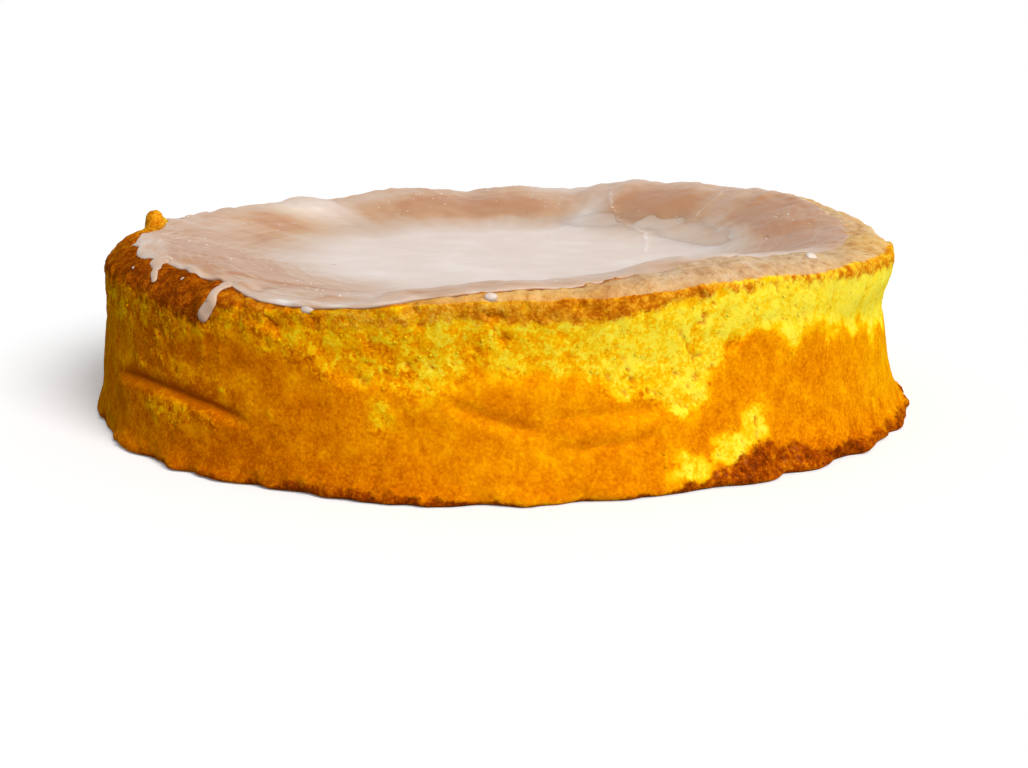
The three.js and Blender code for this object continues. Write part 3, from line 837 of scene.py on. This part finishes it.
glazeForm = {
    "columns": 600, "poolRings": 48, "slopeRings": 74, "edgeRings": 12, "film": 0.9, "bead": 2.6,
    "level": 40.0, "softLevel": 1.4,  # the pool's height, and how softly it runs into the slope
    "edgeShare": [(0, 0.5), (20, 0.7), (45, 1), (180, 1), (255, 1), (276, 0.85), (290, 0.45), (320, 0.4),
                  (345, 0.45)],
    # angle, way, half width of the drip in millimetres, from the top down
    "drips": [
        [(214.6, 1.0, 4.6), (215.4, 1.16, 3.2), (216.9, 1.3, 1.5), (218.2, 1.44, 1.1), (220.2, 1.58, 0.8)],
        [(232.8, 1.0, 3), (232.9, 1.18, 1.6), (233.4, 1.5, 1.5), (233.9, 1.75, 1.8), (233.1, 2, 1.9),
         (232.1, 2.06, 1.7)]],
    "drops": [  # angle, way, half width in millimetres, how flat
        (270, 1.64, 1.5, 0.65), (81, 0.99, 1.9, 0.8), (318.5, 1.3, 1.7, 0.8), (224.5, 1.33, 0.7, 0.9),
        (213, 1.5, 0.5, 0.9), (257.5, 1.43, 1.6, 0.6), (241, 1.3, 1.3, 0.6), (248, 1.7, 1.8, 0.6)],
    "dripMarks": {"thick": 0.58, "warm": 0.15, "free": 0.5, "strands": 0.3, "fold": 9.0},
    "dropMarks": {"thick": 0.9, "warm": 0.0, "free": 0.4, "strands": 0.0, "fold": 9.0}}
# thin places where the tanned crust shows through: angle, way, half width, half depth, strength
thinPlaces = [(97, 0.79, 18, 0.11, 1.0), (50, 0.76, 11, 0.13, 1.0), (9, 0.88, 18, 0.11, 1.5),
              (147, 0.8, 8, 0.11, 0.6), (163, 0.72, 7, 0.05, 0.5), (205, 0.84, 24, 0.15, 0.95),
              (239, 0.83, 4.5, 0.07, 0.9), (225, 0.9, 8, 0.08, 0.5), (270, 1.0, 20, 0.12, 0.2),
              (345, 0.9, 12, 0.12, 0.8)]
thickPlaces = [(67, 0.66, 4.5, 0.2, 0.6), (18, 0.55, 16, 0.16, 0.9), (136, 0.87, 9, 0.12, 0.75),
               (197, 0.98, 7, 0.05, 0.4), (75, 0.97, 8, 0.04, 0.3), (303, 0.85, 26, 0.22, 0.4),
               (248, 1.4, 14, 0.2, 0.3), (244, 1.45, 1.8, 0.12, 0.5), (252, 1.6, 1.6, 0.1, 0.5),
               (258, 1.58, 2.2, 0.1, 0.5)]
# where the glaze has run and dried in strands: angle, value
strandShare = [(0, 0.5), (60, 0.15), (90, 0), (120, 0.1), (150, 0.35), (185, 0.9), (250, 1), (264, 0.7),
               (284, 0.4), (320, 0.8), (345, 0.8)]
# the outline of a slab of crust that stands a little proud, and a crack: angle, way
folds = [[(64, 0.9), (61.5, 0.78), (54.5, 0.67), (47, 0.62), (40, 0.6), (36, 0.68), (35, 0.74), (36, 0.82),
          (38.5, 0.93)],
         [(40, 0.6), (36, 0.56), (24, 0.49), (7.5, 0.44)], [(108, 0.86), (101, 0.91), (90, 0.9), (81, 0.93)]]
# a dark line in the glaze, along which it lies lower and thinner
darkGlazeLine = [[(229, 0.96), (233, 0.89), (236, 0.85), (239, 0.8), (243, 0.78), (248, 0.79), (253, 0.84)]]


def foldDistance(angle, way, lines):
    # millimetres to the nearest of the lines, with a little wander in them
    crest = around(cakeForm["rimRadius"], angle)
    a = np.radians(angle + 1.2 * lumps(angle, way * 100, 5, 91))
    x, y = crest * way * np.cos(a), crest * way * np.sin(a)
    nearest = np.full(x.shape, 9.0)
    for line in lines:
        for (a0, w0), (a1, w1) in zip(line, line[1:]):
            r0, r1 = around(cakeForm["rimRadius"], np.array([a0, a1], float))
            x0, y0 = r0 * w0 * math.cos(math.radians(a0)), r0 * w0 * math.sin(math.radians(a0))
            dx = r1 * w1 * math.cos(math.radians(a1)) - x0
            dy = r1 * w1 * math.sin(math.radians(a1)) - y0
            t = np.clip(((x - x0) * dx + (y - y0) * dy) / (dx * dx + dy * dy), 0, 1)
            nearest = np.minimum(nearest, np.hypot(x - x0 - t * dx, y - y0 - t * dy))
    return nearest


def glazeThickness(angle, way):
    # 1 where the glaze is white and thick, 0 where the crust shows through
    thick = 1 - 0.62 * smooth(0.42, 0.75, way + 0.05 * ragged(angle, way * 90, 22, 73))
    for at, middle, wide, deep, amount in thickPlaces:
        thick = thick + amount * spot(angle, way, at, wide, middle, deep)
    for at, middle, wide, deep, amount in thinPlaces:
        fray = 1 + 0.4 * ragged(angle, way * 95, 14, 79)
        thick = thick - 0.75 * amount * fray * spot(angle, way, at, wide, middle, deep)
    flow = 0.5 * lumps(angle, way * 14, 7, 83) + 0.5 * lumps(angle, way * 20, 3.1, 84)  # runs down the slope
    return np.clip(thick + 0.11 * flow * smooth(0.4, 0.7, way), 0, 1)


def glazeSurface(angle, way, lift):
    points = skin(angle, way, lift)
    pool = glazeForm["level"] - points[..., 2]
    inside = (way < 0.95) * smooth(0.2, 0.9, lift)
    soft = glazeForm["softLevel"]
    points[..., 2] += inside * soft * np.log1p(np.exp(np.clip(pool / soft, -30, 30)))
    return points


glazeTones = [(0.0, (0.45, 0.20, 0.08)), (0.18, (0.53, 0.29, 0.15)), (0.36, (0.59, 0.385, 0.26)),
              (0.56, (0.66, 0.49, 0.39)), (0.8, (0.78, 0.64, 0.56)), (1.0, (0.90, 0.81, 0.75))]


def glazeStrands(tree, place):
    # thin strands that run round the rim and slowly outwards
    apart = addNode(tree, "ShaderNodeSeparateXYZ", {0: place}).outputs
    turn = mathNode(tree, "ARCTAN2", apart[0], times(tree, apart[1], -1.0))
    flat = addNode(tree, "ShaderNodeCombineXYZ", {0: apart[0], 1: apart[1]}).outputs[0]
    out = addNode(tree, "ShaderNodeVectorMath", {0: flat}, operation="LENGTH").outputs["Value"]
    across = timesPlus(tree, turn, -0.019, out)
    across = timesPlus(tree, noiseNode(tree, place, 0.02, 2.0), 0.006, across)
    unrolled = addNode(tree, "ShaderNodeCombineXYZ", {0: times(tree, turn, 0.01), 1: across}).outputs[0]
    return noiseNode(tree, unrolled, 0.0022)


def makeGlazeFinish():
    finish, tree, shader, place = newFinish(
        "sugarGlaze", Specular_IOR_Level=0.32, Subsurface_Weight=0.25, Subsurface_Scale=0.003,
        Subsurface_Radius=(1.0, 0.7, 0.5))
    cloud = noiseNode(tree, place, 0.022, 2.5, 0.55)
    blot = noiseNode(tree, place, 0.006, 1.5, 0.55)
    depth = timesPlus(tree, minus(tree, cloud, 0.5), 0.55, markNode(tree, "thick"))
    depth = timesPlus(tree, minus(tree, blot, 0.5), 0.3, depth)
    line = rangeNode(tree, markNode(tree, "fold"), 0.15, 0.7, 1.0, 0.0)
    broken = rangeNode(tree, noiseNode(tree, place, 0.005, 2.0), 0.4, 0.52)
    depth = timesPlus(tree, times(tree, line, broken), 0.28, depth)
    strand, strandMark = glazeStrands(tree, place), markNode(tree, "strands")
    depth = timesPlus(tree, minus(tree, strand, 0.5), times(tree, strandMark, 1.25), depth)
    sheet = toneRamp(tree, times(tree, depth, 0.8), glazeTones)
    orange = mixColour(tree, 1.0, sheet, (1.0, 0.84, 0.56, 1), "MULTIPLY")
    wrinkle = timesPlus(tree, strand, 0.8, noiseNode(tree, place, 0.004, 1.0, 0.5))
    linkShader(tree, shader, {
        "Base Color": mixColour(tree, markNode(tree, "warm"), sheet, orange),
        "Roughness": timesPlus(tree, blot, 0.25, 0.22),
        "Normal": bumpNode(tree, wrinkle, times(tree, strandMark, 0.3), 0.0008)})
    return finish


rippleLook = {"Wave Size": 0.007, "Wave Height": 0.00035, "Seed": 3.0}


def glazeRipple():
    # dried glaze lies in faint waves over the crust
    tree, given, out = newTree("glazeRipple", rippleLook)
    place = addNode(tree, "GeometryNodeInputPosition").outputs[0]
    seeded = vectorNode(tree, "ADD", place, given["Seed"])
    waves = noiseNode(tree, seeded, given["Wave Size"], 1.0, 0.5)
    height = times(tree, minus(tree, waves, 0.5), times(tree, given["Wave Height"], 2.0))
    normal = addNode(tree, "GeometryNodeInputNormal").outputs[0]
    push = scaleNode(tree, normal, times(tree, height, pointMark(tree, "free")))
    pushed = addNode(tree, "GeometryNodeSetPosition", {"Geometry": given["Geometry"], "Offset": push})
    return endTree(tree, pushed.outputs[0], given, out)


glazeFinish = makeGlazeFinish()
rippleTree = glazeRipple()


def makeGlazeSheet():
    form = glazeForm
    angles = np.arange(form["columns"]) * 360 / form["columns"]
    end = glazeEdge(angles)
    beadStart = moveAcross(end, -form["bead"])
    film = form["film"] * around(form["edgeShare"], angles)  # the film thins towards its edge on the right
    ways, lifts = [], []
    for k in range(1, form["poolRings"] + 1):
        ways.append(0.5 * k / form["poolRings"] + 0 * end)
        lifts.append(form["film"] + 0 * end)
    for k in range(1, form["slopeRings"] + 1):
        ways.append(0.5 + (beadStart - 0.5) * k / form["slopeRings"])
        lifts.append(form["film"] + (film - form["film"]) * smooth(0.5, 1, k / form["slopeRings"]))
    for k in range(1, form["edgeRings"] + 1):
        t = k / form["edgeRings"] * math.pi / 2
        swell = 1 + 0.4 * lumps(angles, 0, 7, 93) * math.sin(2 * t)
        ways.append(beadStart + (end - beadStart) * math.sin(t))
        lifts.append(film * swell * math.cos(t) ** 0.8 - (0.35 if k == form["edgeRings"] else 0))
    underShares = (0.96, 0.8, 0.5, 0.2)
    for share in underShares:
        ways.append(beadStart * share)
        lifts.append(-0.1 + 0 * end)
    way, lift = np.stack(ways), np.stack(lifts)
    angle = np.broadcast_to(angles, way.shape)
    rings = glazeSurface(angle, way, lift)
    upper = np.arange(len(ways)) < len(ways) - len(underShares)
    fold, darkLineDistance = foldDistance(angle, way, folds), foldDistance(angle, way, darkGlazeLine)
    # along the dark line the glaze is sunk and thinned, so the crust shows darker through it
    seam = (0.22 * np.exp(-(fold / 0.8) ** 2) - 0.45 * np.exp(-(darkLineDistance / 0.9) ** 2)) * (way < beadStart)
    rings[..., 2] += seam * upper[:, None]
    thick = glazeThickness(angle, way) - 0.75 * np.exp(-(darkLineDistance / 1.2) ** 2)
    edgeShare = smooth(0, 1, (way - beadStart) / (end - beadStart)) * smooth(0.4, 0.95, film / form["film"])
    thick = thick + (0.72 - thick) * edgeShare * 0.7
    strands = around(strandShare, angle) * smooth(0.5, 0.72, way)
    warm = np.clip(spot(angle, way, 147, 11, 0.8, 0.16) + 0.3 * spot(angle, way, 12, 14, 0.9, 0.12)
                   + 0.4 * spot(angle, way, 97, 20, 0.8, 0.12), 0, 1)
    free = smooth(0.2, 0.6, lift) * upper[:, None] * (0.15 + 0.85 * smooth(0.5, 0.75, way))
    specks = (1 - smooth(0.25, 0.5, thick)) * smooth(0.68, 0.75, way)
    specks = specks + 0.8 * spot(angle, way, 190, 16, 0.86, 0.1)
    specks = specks * smooth(-0.1, 0.5, ragged(angle, way * 90, 16, 97)) * free
    marks = {"thick": thick, "warm": warm, "free": free, "fold": fold, "strands": strands, "specks": specks}
    top = form["level"] + 0.53  # the softened pool stands this high in the middle
    piece = meshFromRings("glaze_sheet", rings, (0, 0, top), (0, 0, cakeForm["dishFloor"] - 0.1), marks)
    return runTree(piece, rippleTree, rippleLook, glazeFinish)


glaze = makeGlazeSheet()
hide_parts("glaze")
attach(glaze, "root")
print("glaze poured:", len(glaze.data.polygons), "faces")


def crustPoint(angle, way):
    # a point on the crust and the direction straight out of it
    middle = skin(angle, way, 0.0)
    outward = skin(angle, way, 1.0) - middle
    return middle, outward / np.linalg.norm(outward, axis=-1, keepdims=True)


def beadRow(stations, sections, points):
    # a flattened, round-ended run of glaze along the crust, as rings of points
    stations = np.array(stations, float)
    t = np.linspace(0, len(stations) - 1, sections)
    angle, way, wide = (np.interp(t, np.arange(len(stations)), stations[:, k]) for k in range(3))
    middle, outward = crustPoint(angle, way)
    along = np.gradient(middle, axis=0)
    along /= np.linalg.norm(along, axis=1)[:, None]
    across = np.cross(along, outward)
    length = np.concatenate([[0], np.cumsum(np.linalg.norm(np.diff(middle, axis=0), axis=1))])
    near = np.minimum(length[-1] - length, length)  # both ends are rounded
    width = np.maximum(wide * np.sqrt(np.clip(1 - (1 - np.clip(near / wide, 0, 1)) ** 2, 0, 1)), 0.02)
    turn = np.arange(points) * 2 * np.pi / points
    return (middle[:, None] + across[:, None] * (width[:, None] * np.cos(turn))[..., None]
            + outward[:, None] * ((0.85 * np.tanh(0.6 * width))[:, None] * np.sin(turn) + 0.1)[..., None])


def evenMarks(rings, values):
    return {name: np.full(rings.shape[:2], value) for name, value in values.items()}


def makeGlazeRuns():
    form = glazeForm
    pieces = []
    for number, stations in enumerate(form["drips"]):
        rings = beadRow(stations, 44, 26)
        pieces.append(meshFromRings("run%d" % number, rings[:, ::-1], rings[0].mean(0), rings[-1].mean(0),
                                    evenMarks(rings, form["dripMarks"])))
    for number, (at, way, wide, flat) in enumerate(form["drops"]):
        t = np.linspace(0.08, 0.92, 12)[:, None] * np.pi
        turn = np.arange(22) * 2 * np.pi / 22
        middle, outward = crustPoint(np.array(float(at)), np.array(float(way)))
        across = np.cross(outward, [0, 0, 1.0])
        across /= np.linalg.norm(across)
        up = np.cross(across, outward)
        thick, sunk = 0.45 * wide, 0.12
        rings = (middle + outward * (np.cos(t) * thick + sunk)[..., None]
                 + across * (np.sin(t) * np.cos(turn) * wide)[..., None]
                 + up * (np.sin(t) * np.sin(turn) * wide * flat)[..., None])
        pieces.append(meshFromRings("drop%d" % number, rings, middle + outward * (thick + sunk),
                                    middle - outward * (thick - sunk), evenMarks(rings, form["dropMarks"])))
    with bpy.context.temp_override(active_object=pieces[0], selected_editable_objects=pieces):
        bpy.ops.object.join()
    pieces[0].name = "glaze_runs"
    return runTree(pieces[0], rippleTree, rippleLook, glazeFinish)


runs = makeGlazeRuns()
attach(runs, "root")
print("drips and drops:", len(runs.data.polygons), "faces")


# Sugar specks and burst bubbles on the glaze

speckScatter = {"values": {"Density": 24000.0, "Size": 0.0005, "Seed": 5}, "ballSteps": 2, "dentScale": 1.3,
                "mostTurn": (0.2, 0.2, 6.28), "least": (0.5, 0.45, 0.25), "most": (1.2, 0.9, 0.45)}


def makeSpeckFinish():
    finish, tree, shader, place = newFinish("sugarSpeck", Roughness=0.3, Coat_Weight=0.3, Coat_Roughness=0.1,
                                            Subsurface_Weight=0.3, Subsurface_Scale=0.001)
    shade = noiseNode(tree, place, 0.002, 2.0, 0.5)
    tones = [(0.3, (0.62, 0.47, 0.37)), (0.7, (0.80, 0.70, 0.62))]
    linkShader(tree, shader, {"Base Color": toneRamp(tree, shade, tones)})
    return finish


def speckShare(tree):
    return pointMark(tree, "specks")


specks = strew("glaze_specks", glaze, speckScatter, speckShare, makeSpeckFinish())
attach(specks, "root")
print("specks scattered:", len(specks.data.polygons), "faces")
